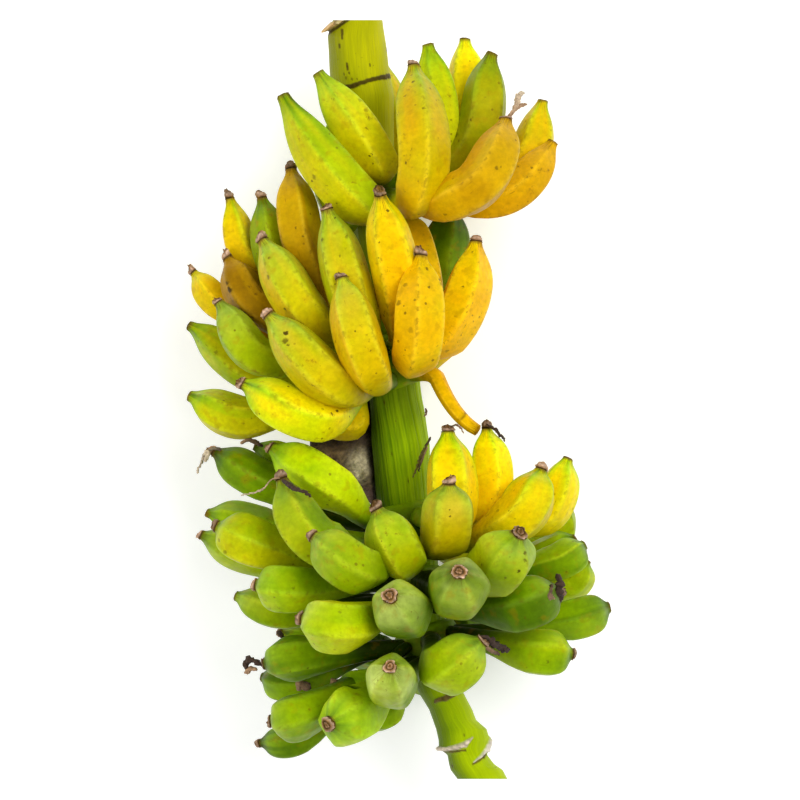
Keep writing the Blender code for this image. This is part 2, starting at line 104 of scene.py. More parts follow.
# Fingers of each hand: tip, belly, half width in the plan, row on the crown, ripeness from 0, green, to 1,
# golden, and then, where they aren't usual, 1 for a dried flower's stub on the tip, taper, tone (a factor on
# the skin's colour, partly its own lightness and partly painted light and shade), waxy bloom and bow to the
# side. The belly is the thick lower turn, where the finger turns up to its tip.
# A low taper narrows early. The fingers that the photo doesn't show come last in each hand.
Finger = namedtuple(
    "Finger", "tip belly half_width row ripeness stub taper tone bloom bow", defaults=(1, 1.18, 1, 0, (0, 0))
)
FINGERS = {"hand_1": (
    ((283, 96, 50), (362, 203, 62), 27, 1, 0.52, 0, 0.89, 1, 0, (-3, 3)),
    ((318, 73, 40), (378, 165, 43), 25, 0, 0.65, 0, 0.99, 1.1, 0.08),
    ((414, 67, 66), (420, 187, 98), 26.5, 1, 0.72, 1, 1.42, 0.82),
    ((428, 45, 28), (436, 148, 31), 23, 0, 0.58, 0, 1.18, 1.2, 0, (2, 0)),
    ((465, 40, 0), (465, 125, 5), 22, 0, 0.8, 0, 1.18, 1.5),
    ((492, 54, 38), (474, 145, 42), 23.5, 0, 0.49, 0, 1.18, 0.63, 0, (-3, 0)),
    ((506, 120, 90), (461, 195, 108), 26, 1, 0.92, 1, 1.3, 0.74, 0, (6, 3)),
    ((543, 101, 28), (515, 170, 30), 21, 0, 0.78, 0, 1.06, 1, 0, (1, 1)),
    ((553, 142, 55), (486, 199, 62), 21.5, 0, 0.92, 0, 1.18, 0.95, 0, (5, 5)),
    ((382, 62, -45), (392, 150, -45), 20, 0, 0.7, 0),
    ((318, 165, 12), (348, 217, 26), 19, 1, 0.35, 0),
    ((437, 85, -45), (440, 165, -50), 22, 0, 0.6, 0),
    ((335, 110, -62), (352, 192, -90), 22, 1, 0.5),
    ((490, 125, -62), (468, 190, -90), 22, 1, 0.7),
), "hand_2": (
    ((380, 195, 118), (402, 315, 78), 24, 0, 0.82, 1, 1.56, 1.12),
    ((327, 210, 82), (358, 320, 80), 25.5, 0, 0.62, 1, 1.3, 0.87, 0.14),
    ((291, 170, 32), (306, 255, 45), 23, 0, 0.84, 1, 1.18, 0.66),
    ((230, 199, 10), (257, 272, 8), 18.5, 0, 0.78, 1, 1.12, 0.98, 0, (-2, 0)),
    ((262, 199, 22), (284, 275, 27), 21, 0, 0.4, 1, 1.18, 0.71),
    ((263, 241, 60), (310, 318, 70), 24, 0, 0.69, 1, 1.3, 0.93, 0.15),
    ((228, 259, 28), (256, 305, 36), 22, 0, 1.07, 1, 1.18, 0.55),
    ((194, 273, 0), (223, 305, 6), 17, 1, 0.8, 1, 1, 1.05),
    ((219, 303, 50), (262, 358, 58), 20.5, 0, 0.45, 1, 1.12, 0.87, 0.25),
    ((190, 326, 14), (252, 372, 22), 21, 1, 0.52, 0, 1, 0.92, 0, (2, -3)),
    ((269, 316, 95), (335, 384, 103), 26, 1, 0.63, 1, 1.3, 0.87, 0.16),
    ((342, 279, 106), (367, 363, 119), 26, 1, 0.77, 1, 1.3, 0.9, 0.12),
    ((421, 256, 108), (416, 351, 112), 26, 0, 0.88, 1, 1.3),
    ((476, 242, 60), (443, 336, 64), 25, 0, 0.85, 1, 1.18, 1.2, 0, (5, 0)),
    ((407, 215, 34), (424, 294, 50), 22.5, 0, 0.85, 0, 1.89),
    ((244, 384, 85), (316, 420, 92), 25, 1, 0.62, 1, 1.3, 1.3),
    ((190, 396, 20), (246, 418, 28), 23, 1, 0.55, 0, 1.06, 1.05),
    ((300, 400, 20), (352, 422, 15), 19, 1, 0.72, 0, 1.18, 1.2),
    ((452, 206, 4), (437, 288, 4), 26, 0, 0.16, 0),
    ((340, 240, -40), (370, 330, -70), 22, 0, 0.6),
    ((430, 250, -50), (425, 340, -80), 22, 1, 0.7),
    ((270, 290, -30), (320, 360, -60), 22, 1, 0.5),
    ((458, 285, -25), (440, 345, -45), 18, 1, 0.8),
    ((345, 330, -20), (372, 385, -58), 20, 1, 0.5),
), "hand_3": (
    ((215, 452, 15), (264, 482, 22), 21, 0, 0.2, 1, 1.06, 0.93),
    ((272, 448, 50), (335, 488, 60), 26, 0, 0.5, 1, 1.18, 1.45),
    ((282, 480, 90), (325, 545, 96), 26, 1, 0.38, 1, 1.18, 0.83, 0.1, (-3, 5)),
    ((208, 513, -10), (262, 525, -2), 19, 1, 0.35, 0),
    ((377, 510, 118), (401, 556, 118), 27, 1, 0.48, 1, 1.18, 0.92, 0.15),
    ((448, 432, 72), (449, 518, 76), 27, 0, 0.71, 1, 1.43, 1.25),
    ((449, 484, 116), (446, 534, 107), 27, 1, 0.68, 1, 1.59, 0.78, 0.18),
    ((487, 429, 50), (487, 500, 50), 21, 0, 0.75, 1, 1.4, 1.5),
    ((541, 470, 80), (511, 522, 85), 26.5, 1, 0.72, 1, 1.3, 1.05, 0, (3, 0)),
    ((568, 459, 45), (541, 517, 47), 21, 0, 0.72, 0, 1.36, 1.3),
    ((563, 499, -3), (550, 545, -17), 18, 1, 0.42, 0),
    ((314, 537, 130), (358, 568, 138), 26.5, 1, 0.4, 1, 1.3, 0.87, 0.2),
    ((400, 470, -60), (405, 528, -82), 22, 0, 0.4),
    ((325, 480, -40), (350, 530, -72), 22, 1, 0.35),
    ((480, 480, -40), (461, 544, -70), 22, 1, 0.6),
    ((255, 446, 0), (300, 470, 0), 18, 0, 0.3, 0),
), "hand_4": (
    ((218, 527, 50), (258, 545, 60), 26, 0, 0.5, 1, 1.18, 0.96),
    ((202, 535, 23), (252, 556, 27), 20, 1, 0.38, 1, 1, 1, 0.12),
    ((257, 585, 77), (294, 588, 85), 25, 0, 0.35, 1, 1.25, 1.1, 0.2),
    ((236, 596, 25), (286, 612, 33), 20, 1, 0.33, 0, 1.1, 0.96, 0.25),
    ((304, 619, 130), (345, 625, 142), 29, 1, 0.45, 1, 1.3, 1.06, 0.25),
    ((390, 596, 180), (405, 613, 140), 30, 1, 0.34, 1, 1.1, 0.76, 0.42),
    ((459, 572, 184), (457, 591, 151), 31, 0, 0.28, 1, 1.1, 0.6, 0.32),
    ((519, 534, 145), (498, 566, 126), 32, 0, 0.4, 1, 1.18, 0.9, 0.18),
    ((559, 590, 95), (518, 607, 100), 27, 1, 0.16, 1, 1.18, 1, 0.1),
    ((575, 538, 19), (545, 553, 17), 17, 0, 0.3, 0),
    ((584, 545, 33), (557, 563, 40), 20, 0, 0.26, 0, 1.18, 1.1, 0.08),
    ((587, 561, -10), (568, 587, -10), 17, 1, 0.45, 0),
    ((335, 560, -58), (361, 615, -93), 22, 1, 0.3),
    ((505, 560, -58), (482, 608, -92), 22, 1, 0.3),
), "hand_5": (
    ((390, 667, 165), (394, 686, 112), 25.5, 1, 0.32, 1, 1.5, 0.88, 0.6),
    ((482, 641, 125), (446, 668, 120), 29, 0, 0.34, 1, 1.18, 1, 0.15),
    ((572, 654, 60), (532, 652, 65), 24, 0, 0.3),
    ((609, 607, 25), (570, 619, 30), 22, 0, 0.24, 0, 1.18, 1.1, 0.08),
    ((265, 664, 60), (305, 657, 70), 24, 0, 0.22, 1, 1.18, 1, 0.1),
    ((262, 677, 20), (295, 683, 30), 18, 0, 0.2, 0),
    ((329, 724, 120), (355, 714, 95), 30, 1, 0.4, 1, 1.18, 1.35, 0.12),
    ((272, 721, 75), (300, 716, 80), 25, 1, 0.3, 1, 1.18, 0.87, 0.3),
    ((261, 743, 20), (300, 738, 30), 17, 1, 0.18, 1, 1.06),
    ((365, 715, 50), (385, 710, 45), 20, 1, 0.28),
    ((338, 683, 45), (375, 680, 50), 15, 0, 0.25),
    ((281, 633, 0), (320, 645, 0), 18, 0, 0.35),
    ((425, 625, -50), (428, 678, -80), 22, 0, 0.25),
    ((464, 606, -22), (459, 651, -44), 20, 0, 0.15),
    ((322, 624, -34), (382, 655, -50), 22, 0, 0.1),
)}
# The thin sterile finger that hangs under the middle hand
STERILE_FINGER = ((477, 430, 66), (437, 378, 44), 9, 1, 0.93, 0, 1, 1, 0, (-5, 4))

# How fine the fingers are made
AROUND = 50
ALONG_BASE = 10
ALONG_BODY = 34

# A finger's radius along it, as (share of the way, share of its largest radius)
FROM_CROWN = ((0.0, 0.40), (0.35, 0.44), (0.65, 0.62), (0.85, 0.84), (1.0, 0.97))
TO_TIP = ((0, 0.97), (0.2, 1), (0.4, 0.99), (0.58, 0.91), (0.74, 0.72), (0.86, 0.46), (0.93, 0.31), (1, 0.24))

# Skin colours from green to over-ripe, as (ripeness, red, green, blue) on the usual 0 to 255 scale
SKIN_RAMP = (
    (0.00, 44, 72, 2),
    (0.15, 84, 122, 2),
    (0.30, 130, 164, 2),
    (0.45, 166, 184, 2),
    (0.58, 192, 188, 2),
    (0.70, 212, 188, 2),
    (0.85, 226, 178, 2),
    (1.00, 214, 158, 3),
    (1.15, 150, 100, 6),
    (1.30, 90, 60, 8),
)
BLOOM = (184, 200, 96)
TIP_PALE = (202, 168, 142)
TIP_TAN = (168, 128, 94)
TIP_MID = (120, 84, 48)
TIP_DARK = (50, 34, 22)
RUSSET = (92, 60, 6)
STAIN = (160, 116, 4)
SPOT_BROWN = (62, 40, 8)
# The colour added for the painted highlight along the ribs
RIB_HIGHLIGHT = (66, 68, 28)

# A finger's rise for its length from which it is rounder and its stub shorter, and at which it is so in full
UPRIGHT = (0.80, 0.95)

# A finger's end as steps of (share of its last radius, how far out in metres, colour)
DRIED_TIP = (
    (1.00, 0.0003, (96, 74, 30)),
    (0.92, 0.0010, TIP_DARK),
    (0.94, 0.0018, TIP_TAN),
    (0.97, 0.0028, TIP_PALE),
    (0.92, 0.0040, TIP_PALE),
    (0.80, 0.0052, TIP_TAN),
    (0.66, 0.0057, TIP_MID),
    (0.50, 0.0049, TIP_DARK),
    (0.34, 0.0054, TIP_TAN),
    (0.16, 0.0062, TIP_MID),
)
BARE_TIP = (
    (0.96, 0.0004, (120, 110, 30)),
    (0.86, 0.0010, TIP_MID),
    (0.66, 0.0014, TIP_DARK),
    (0.40, 0.0012, TIP_MID),
    (0.18, 0.0014, TIP_TAN),
)
PLAIN_TIP = (
    (0.94, 0.0006, (196, 140, 4)),
    (0.70, 0.0014, (206, 150, 4)),
    (0.35, 0.0018, (206, 150, 4)),
)
# The brown ring on the thin finger, as (across, down, half width) in the plan
STERILE_RING = ((459, 420, 1.5), (471, 409, 1.5))


def linear(colour):
    """A 0 to 255 screen colour as the shader's linear values."""
    value = np.asarray(colour, float) / 255.0
    return np.where(value <= 0.04045, value / 12.92, ((value + 0.055) / 1.055) ** 2.4)


def ease(low, high, value):
    """0 below low, 1 above high and smooth between; high may be the smaller."""
    share = np.clip((value - low) / (high - low), 0.0, 1.0)
    return share * share * (3 - 2 * share)


def mix(first, second, share):
    """Colours blended by a share for each row."""
    share = np.asarray(share)[..., None]
    return first * (1 - share) + second * share


def turn(count):
    """Evenly spread angles once round."""
    return np.linspace(0, 2 * math.pi, count, endpoint=False)


def table_at(values, places, rows):
    """Rows of three numbers read from a table at given places."""
    columns = np.array(rows).T
    return np.stack([np.interp(values, places, column) for column in columns], axis=-1)


def ramp(ripeness):
    """Skin colours for an array of ripeness values."""
    return table_at(ripeness, [row[0] for row in SKIN_RAMP], [linear(row[1:]) for row in SKIN_RAMP])


def waves(points, size, seed):
    """Smooth noise of about -1 to 1 from a few crossed sine waves of a given length in metres."""
    draw = np.random.default_rng(seed)
    total = np.zeros(points.shape[:-1])
    for _ in range(6):
        direction = draw.normal(size=3)
        direction *= 2 * math.pi / (size * np.linalg.norm(direction)) * draw.uniform(0.6, 1.6)
        total += np.sin(points @ direction + draw.uniform(0, 2 * math.pi))
    return total / 3.0


def unit_at(height):
    """Metres in one unit of the plan at a height above the stalk's axis."""
    return PLAN_UNIT * (EYE_HEIGHT - height) / EYE_HEIGHT


def place(across, down, height_mm):
    """A point of the plan, or an array of them, in metres."""
    height = height_mm * MILLIMETRE
    unit = unit_at(height)
    x = (across - PLAN_MIDDLE[0]) * unit + CENTRED_BY[0]
    y = (PLAN_MIDDLE[1] - down) * unit + CENTRED_BY[1]
    return np.stack(np.broadcast_arrays(x, y, AXIS_HEIGHT + height), axis=-1)


def stalk_row(down):
    """The stalk's place across the plan, half width there and half depth in mm, at a place down the plan."""
    places = [row[1] for row in STALK]
    return [np.interp(down, places, [row[column] for row in STALK]) for column in (0, 2, 3)]


def stalk_at(down):
    """The stalk's axis and half width at a place down the plan, in metres."""
    across, half_width, _ = stalk_row(down)
    return place(across, down, 0.0), half_width * PLAN_UNIT


def stalk_rings(downs, extra_mm, angles, tilt=0.0):
    """The stalk's sections at places down the plan, grown by some mm, which may differ by place and angle."""
    down = downs[:, None]
    across, half_width, half_depth = stalk_row(down)
    aside = (half_width + extra_mm * MILLIMETRE / PLAN_UNIT) * np.cos(angles)
    return place(across + aside, down - tilt * aside, (half_depth + extra_mm) * np.sin(angles))


def hermite(start, start_pull, end, end_pull, share):
    """A point on the cubic between two points with given pulls."""
    square = share * share
    cube = square * share
    stay = (2 * cube - 3 * square + 1) * start + (3 * square - 2 * cube) * end
    return stay + (cube - 2 * square + share) * start_pull + (cube - square) * end_pull


def profile(table, shares):
    """Values read from a table of (share, value), with its corners rounded off."""
    places = [row[0] for row in table]
    values = [row[1] for row in table]
    total = np.zeros(len(shares))
    offsets = (-0.06, -0.03, 0.0, 0.03, 0.06)
    for offset in offsets:
        total += np.interp(np.clip(shares + offset, 0, 1), places, values)
    return total / len(offsets)


def seen(points):
    """Where points are seen in the plan: across and down."""
    unit = unit_at(points[..., 2] - AXIS_HEIGHT)
    across = PLAN_MIDDLE[0] + (points[..., 0] - CENTRED_BY[0]) / unit
    down = PLAN_MIDDLE[1] - (points[..., 1] - CENTRED_BY[1]) / unit
    return across, down


def finger_line(finger, hand):
    """Points along a finger's middle, the radius at each, and how far each is from belly (0) to tip (1).

    Points between the crown and the belly have values below 0, down to -1.
    """
    tip_at = place(*finger.tip)
    belly_at = place(*finger.belly)
    radius = finger.half_width * unit_at(finger.belly[2] * MILLIMETRE)
    axis, stalk_radius = stalk_at(hand.rows[finger.row])
    outward = np.array([belly_at[0] - axis[0], 0.0, belly_at[2] - axis[2]])
    outward = outward / np.linalg.norm(outward)
    root = axis + outward * (stalk_radius + ROOT_GAP)
    root[1] += hand.tilt * (root[0] - axis[0])
    base_length = np.linalg.norm(belly_at - root)
    length = np.linalg.norm(tip_at - belly_at)
    through = (tip_at - root) / np.linalg.norm(tip_at - root)
    side = BOW_PULL * PLAN_UNIT * np.array([finger.bow[0], -finger.bow[1], 0.0])
    base = np.linspace(0, 1, ALONG_BASE, endpoint=False)
    body = np.linspace(0, 1, ALONG_BODY)
    root_pull = outward * base_length * ROOT_PULL
    points = [hermite(root, root_pull, belly_at, through * base_length, t) for t in base]
    points += [hermite(belly_at, through * length + side, tip_at, tip_at - belly_at - side, t) for t in body]
    radii = np.concatenate([profile(FROM_CROWN, base), profile(TO_TIP, body ** finger.taper)]) * radius
    return np.array(points), radii, np.concatenate([base - 1, body])


def frames(points, reference):
    """Two cross directions at each point of a line, turned as little as possible along it."""
    along = np.gradient(points, axis=0)
    along /= np.linalg.norm(along, axis=1)[:, None]
    across = np.zeros_like(points)
    last = np.array(reference, float)
    for index, direction in enumerate(along):
        last = last - direction * last.dot(direction)
        last /= np.linalg.norm(last)
        across[index] = last
    return along, across, np.cross(along, across)


def around_line(centres, across, over, reach, angles):
    """Rings of points round a line's points, with a reach for each ring and angle."""
    spokes = np.cos(angles)[:, None] * across[:, None, :] + np.sin(angles)[:, None] * over[:, None, :]
    return centres[:, None, :] + reach[..., None] * spokes


def corner_shape(angles, corners):
    """How far a five-cornered section with straight sides reaches at each angle, and nearness to a corner."""
    reach = np.ones_like(angles)
    near = np.zeros_like(angles)
    for start, following in zip(corners, np.roll(corners, -1)):
        span = (following - start) % (2 * math.pi)
        offset = (angles - start) % (2 * math.pi)
        inside = offset <= span
        middle = offset - span / 2
        reach = np.where(inside, math.cos(span / 2) / np.cos(np.clip(middle, -span / 2, span / 2)), reach)
        edge = np.minimum(offset, span - offset)
        near = np.where(inside, np.exp(-(edge / RIB_ANGLE) ** 2), near)
    return reach, near


class Mesher:
    """Collects tubes into one mesh with a skin colour, marks and a texture place for each point."""

    def __init__(self):
        self.points = []
        self.colours = []
        self.marks = []
        self.uvs = []
        self.faces = []
        self.count = 0

    def tube(self, rings, colours, marks=None, uv=None):
        """Adds a closed tube from rings of points, shaped (along, around, 3)."""
        along, around = rings.shape[:2]
        if marks is None:
            marks = np.zeros(rings.shape)
            uv = np.zeros((along, around, 2))
        for kept, values in ((self.points, rings), (self.colours, colours), (self.marks, marks)):
            kept.append(np.concatenate([values.reshape(-1, 3), values[[0, -1]].mean(axis=1)]))
        self.uvs.append(np.concatenate([uv.reshape(-1, 2), uv[[0, -1], 0]]))
        row, column = np.meshgrid(np.arange(along - 1), np.arange(around), indexing="ij")
        low = self.count + row * around
        beside = (column + 1) % around
        quads = np.stack([low + column, low + beside, low + around + beside, low + around + column], axis=-1)
        self.faces.extend(quads.reshape(-1, 4).tolist())
        start = self.count + along * around
        last = start - around
        for corner in range(around):
            following = (corner + 1) % around
            self.faces.append([start, self.count + following, self.count + corner])
            self.faces.append([start + 1, last + corner, last + following])
        self.count = start + 2

    def make(self, name, material):
        """The collected mesh as an object."""
        mesh = bpy.data.meshes.new(name)
        mesh.from_pydata(np.concatenate(self.points).tolist(), [], self.faces)
        for label, parts in (("skin", self.colours), ("marks", self.marks)):
            values = np.pad(np.concatenate(parts), ((0, 0), (0, 1)), constant_values=1).astype(np.float32)
            mesh.color_attributes.new(label, "FLOAT_COLOR", "POINT").data.foreach_set("color", values.ravel())
        loops = np.zeros(len(mesh.loops), dtype=np.int64)
        mesh.loops.foreach_get("vertex_index", loops)
        uv = np.concatenate(self.uvs)[loops].astype(np.float32)
        mesh.uv_layers.new(name="along").data.foreach_set("uv", uv.ravel())
        mesh.shade_smooth()
        mesh.materials.append(material)
        return add_object(name, mesh)


def add_object(name, data):
    """A new object in the scene."""
    made = bpy.data.objects.new(name, data)
    bpy.context.scene.collection.objects.link(made)
    return made


def blurred(values):
    """Values round a ring, each the mean of itself and its two neighbours on one side."""
    return sum(np.roll(values, shift) for shift in range(3)) / 3


def finger_colours(points, along, near, edge, finger, facet, seed):
    """Skin colour for each point of a finger, and its marks: dried tip, rib, and nearness to the tip."""
    patchy = waves(points, 0.050, seed)
    fine = waves(points, 0.012, seed + 1)
    half_ripe = 1 - ease(0.70, 0.94, finger.ripeness)
    local = finger.ripeness + 0.05 * patchy + 0.02 * fine + facet
    neck = ease(0.62, 0.96, along + 0.06 * patchy + 0.04 * fine)
    local = local - (0.19 - 0.15 * finger.bloom) * half_ripe * neck
    turning = ease(0.40, 0.60, finger.ripeness) * half_ripe
    local = local - 0.26 * turning * edge * ease(0.05, 0.85, along + 0.15 * patchy)
    # Greener towards the base: partly the real green of the finger's stem, partly painted shade of the
    # crevices in the bunch
    local = local - 0.45 * ease(-0.25, -0.85, along)
    streaks = blurred(np.random.default_rng(seed + 2).normal(size=points.shape[1]))
    local = local + 0.07 * streaks * ease(0.0, 0.8, along) * half_ripe
    # Painted shade: the last factor darkens the base towards the crown, where the fingers crowd together; the
    # finger's tone is partly the skin's own lightness and partly painted light and shade
    colour = ramp(local) * finger.tone * (1 - 0.4 * ease(-0.15, -0.8, along))[..., None]
    pale = finger.bloom * ease(0.2, 0.8, along) * (0.75 + 0.35 * patchy + 0.2 * fine - 4 * facet)
    colour = mix(colour, linear(BLOOM), np.clip(pale, 0, 1))
    # Painted highlight: the skin is made lighter along each rib's edge
    rib_highlight = near * (1 - ease(0.85, 0.97, along)) * ease(-0.5, 0.0, along)
    colour = mix(colour, colour * 1.2 + linear(RIB_HIGHLIGHT), 0.75 * rib_highlight)
    tip = ease(0.965, 0.995, along + 0.012 * fine)
    colour = mix(colour, linear(TIP_MID), 0.7 * tip)
    zone = ease(0.82, 0.98, along)
    return colour, np.stack([tip, near, zone], axis=-1)


def add_finger(mesher, finger, hand, number, sterile=False):
    """One fine finger with five ribs, a tapering neck and its dried tip."""
    seed = 37 * number + hand.rows[0]
    draw = np.random.default_rng(seed)
    centres, radii, along = finger_line(finger, hand)
    if sterile:
        radii = radii.max() * np.linspace(1, STERILE_TIP, len(radii))
    directions, across, over = frames(centres, ROLL_FROM)
    angles = turn(AROUND)
    corners = turn(5) + ROLL_STEP * number
    if not sterile:
        corners = corners + draw.uniform(-0.14, 0.14, 5)
    reach, near = corner_shape(angles, corners)
    flatness = np.clip((1 - reach) / (1 - math.cos(math.pi / 5)), 0, 1.15)
    edge = 1 - np.clip(flatness, 0, 1)
    body = centres[-1] - centres[ALONG_BASE]
    upright = ease(*UPRIGHT, body[2] / np.linalg.norm(body))
    depth = 0.4 if sterile else draw.uniform(1.0, 1.5) * (1 - 0.25 * upright)
    section = RIB_REACH - depth * (RIB_REACH - FLAT_REACH) * flatness
    for _ in range(int(round(2 * upright))):
        section = (np.roll(section, 1) + 2 * section + np.roll(section, -1)) / 4
    facet_of = np.searchsorted(np.sort(corners % (2 * math.pi)), angles)
    facet = draw.uniform(-0.07, 0.07, 6)[facet_of] * (1 + upright)
    swell = 1 + 0.012 * np.sin(along * draw.uniform(4, 7) + draw.uniform(0, 6))
    round_off = np.maximum(ease(0.90, 1.0, along), 0.75 * ease(0.12, -0.40, along))[:, None]
    shape = section * (1 - round_off) + 0.97 * round_off
    rings = around_line(centres, across, over, (radii * swell)[:, None] * shape, angles)
    along_all, near_all = np.broadcast_arrays(along[:, None], near)
    colour, marks = finger_colours(rings, along_all, near_all, edge, finger, facet, seed)
    length = np.concatenate([[0.0], np.cumsum(np.linalg.norm(np.diff(centres, axis=0), axis=1))])
    uv = np.stack(np.broadcast_arrays(length[:, None], angles * radii.max()), axis=-1)
    steps = DRIED_TIP if finger.stub else BARE_TIP
    if sterile:
        steps = PLAIN_TIP
        colour = mix(colour, linear(RUSSET), 0.9 * near_line(rings, STERILE_RING))
        colour[-4:] = colour[-5]    # no dark end
    stub = directions[-1] * draw.uniform(0.6, 1.2) * (1 - 0.4 * upright) * hand.stubs
    rings, colour, marks, uv = add_tip((rings, colour, marks, uv), stub, draw, steps, upright)
    rings[..., 2] = np.maximum(rings[..., 2], 0.0)
    mesher.tube(rings, colour, marks, uv)


def extended(skin, rings, colour, dried):
    """A tube's rings, colours, marks and texture places, with more rings past its end."""
    marks = np.zeros(rings.shape)
    marks[..., 0] = dried
    more = (rings, colour, marks, np.repeat(skin[3][-1:], len(rings), axis=0))
    return [np.concatenate(pair) for pair in zip(skin, more)]


def add_tip(skin, direction, draw, steps, upright):
    """The dried end of a finger: a small crumpled stub or a bare scar, paler on an upright finger."""
    last_ring = skin[0][-1]
    centre = last_ring.mean(axis=0)
    angles = turn(AROUND)
    lean = draw.uniform(0, 2 * math.pi)
    darker = draw.uniform(0.45, 1.15)
    darker = darker + (1.15 - darker) * upright
    lobes = np.cos(draw.integers(3, 6) * angles + draw.uniform(0, 6)) * 0.10
    rings = []
    colours = []
    for share, out, shade in steps:
        rough = blurred(draw.uniform(0.72, 1.28, AROUND))
        wide = share * (rough + lobes * min(1.0, out / 0.002))
        lift = out * (1 + 0.35 * np.cos(angles - lean)) * (0.85 + 0.15 * rough)
        rings.append(centre + (last_ring - centre) * wide[:, None] + direction * lift[:, None])
        colours.append(linear(shade) * darker * rough[:, None] ** 3)
    return extended(skin, np.array(rings), np.array(colours), 1.0)


def stalk_colours(downs, share):
    """The stalk's colour at places down the plan: its grooves' for a share of 0, its ridges' for 1."""
    places = [row[0] for row in STALK_COLOURS]
    ridges = table_at(downs, places, [linear(row[1]) for row in STALK_COLOURS])
    grooves = table_at(downs, places, [linear(row[2]) for row in STALK_COLOURS])
    return grooves * (1 - share) + ridges * share


def add_crown(mesher, hand, seed):
    """The green cushion round the stalk that a hand's fingers grow from."""
    upper, lower = hand.rows
    steps = ((upper - 15, 0.02), (upper - 12, 0.5), (upper - 4, 0.9), (0.5 * (upper + lower), 1.0),
             (lower + 2, 0.85), (lower + 7, 0.4), (lower + 10, 0.02))
    places = np.linspace(0, len(steps) - 1, 30)
    downs = np.interp(places, range(len(steps)), [row[0] for row in steps])
    shares = np.interp(places, range(len(steps)), [row[1] for row in steps])
    angles = turn(96)
    plain = stalk_rings(downs, 0.0, angles)
    thick = CROWN_THICK * shares[:, None] * (1 + 0.12 * waves(plain, 0.012, seed))
    rings = stalk_rings(downs, thick, angles, hand.tilt)
    colour = ramp(0.06 + 0.08 * waves(rings, 0.02, seed + 1))
    colour = mix(colour, linear(RUSSET), 0.35 * ease(0.2, 0.9, waves(rings, 0.008, seed + 2)))
    from_edge = np.minimum(places, len(steps) - 1 - places)[:, None]
    colour = mix(colour, stalk_colours(downs, 0.5)[:, None, :], ease(2.6, 0.3, from_edge))
    mesher.tube(rings[::-1], colour[::-1])


class Look:
    """A Principled material in the making, with short names for the nodes that it uses."""

    def __init__(self, name):
        self.material = bpy.data.materials.new(name)
        self.material.use_nodes = True
        self.tree = self.material.node_tree
        self.place = self.node("TexCoord").outputs["Object"]
        self.skin = self.attribute("skin")

    def give(self, socket, value):
        """Links a socket to another, or gives it a plain value."""
        if isinstance(value, bpy.types.NodeSocket):
            self.tree.links.new(value, socket)
        else:
            socket.default_value = value

    def node(self, kind, **inputs):
        """A shader node with its named sockets given."""
        made = self.tree.nodes.new("ShaderNode" + kind)
        for key, value in inputs.items():
            self.give(made.inputs[key.replace("_", " ")], value)
        return made

    def operate(self, kind, operation, *values):
        """The result of a Math or VectorMath node."""
        made = self.node(kind)
        made.operation = operation
        for socket, value in zip(made.inputs, values):
            self.give(socket, value)
        return made.outputs["Value" if operation == "DISTANCE" else 0]

    def maths(self, operation, *values):
        return self.operate("Math", operation, *values)

    def times(self, first, second):
        return self.maths("MULTIPLY", first, second)

    def largest(self, most, *others):
        for value in others:
            most = self.maths("MAXIMUM", most, value)
        return most

    def spread(self, value, low, high, to_low=0.0, to_high=1.0):
        """A smooth Map Range."""
        made = self.node("MapRange", Value=value, From_Min=low, From_Max=high, To_Min=to_low, To_Max=to_high)
        made.interpolation_type = "SMOOTHSTEP"
        return made.outputs["Result"]

    def noise(self, scale, detail=2.0, roughness=0.5, places=None):
        """Noise of a given scale per metre."""
        places = self.place if places is None else places
        made = self.node("TexNoise", Vector=places, Scale=scale, Detail=detail, Roughness=roughness)
        return made.outputs["Fac"]

    def lines(self, along, across):
        """Noise drawn out along the piece, of two scales per metre."""
        uv = self.node("UVMap")
        uv.uv_map = "along"
        stretched = self.node("Mapping", Vector=uv.outputs[0], Scale=(along, across, 1.0))
        return self.noise(1.0, 3.0, 0.6, stretched.outputs[0])

    def bump(self, height, strength, distance, **below):
        """A bump, over the Normal of another where that is given."""
        made = self.node("Bump", Height=height, Strength=strength, Distance=distance, **below)
        return made.outputs["Normal"]

    def attribute(self, label):
        """A colour of the mesh's points."""
        made = self.node("Attribute")
        made.attribute_name = label
        return made.outputs["Color"]

    def split(self, colour):
        """The three channels of a colour."""
        return self.node("SeparateColor", Color=colour).outputs[:3]

    def blend(self, share, first, second, kind="MIX"):
        """Two colours blended; each is a socket or a value on the 0 to 255 scale."""
        made = self.node("Mix")
        made.data_type = "RGBA"
        made.blend_type = kind
        self.give(made.inputs[0], share)
        for socket, value in ((6, first), (7, second)):
            self.give(made.inputs[socket], (*linear(value), 1.0) if isinstance(value, tuple) else value)
        return made.outputs[2]

    def shaded(self, colour, shade):
        """A colour made darker or lighter."""
        grey = self.node("CombineColor", Red=shade, Green=shade, Blue=shade)
        return self.blend(1.0, colour, grey.outputs[0], "MULTIPLY")

    def finish(self, **inputs):
        """Gives the shader's sockets, and returns the material."""
        for key, value in inputs.items():
            self.give(self.tree.nodes["Principled BSDF"].inputs[key.replace("_", " ")], value)
        return self.material


def spot_mask(look, spots):
    """1 inside ragged round spots, given as (point, radius in metres, strength)."""
    wobble = look.node("TexNoise", Vector=look.place, Scale=420.0, Detail=3.0).outputs["Color"]
    shifted = look.operate("VectorMath", "MULTIPLY_ADD", wobble, (2 * SPOT_WOBBLE,) * 3, look.place)
    masks = []
    for point, radius, strength in spots:
        middle = [value + SPOT_WOBBLE for value in point]
        away = look.operate("VectorMath", "DISTANCE", shifted, middle)
        masks.append(look.spread(away, radius * 1.25, radius * 0.6, 0.0, strength))
    return look.largest(*masks)


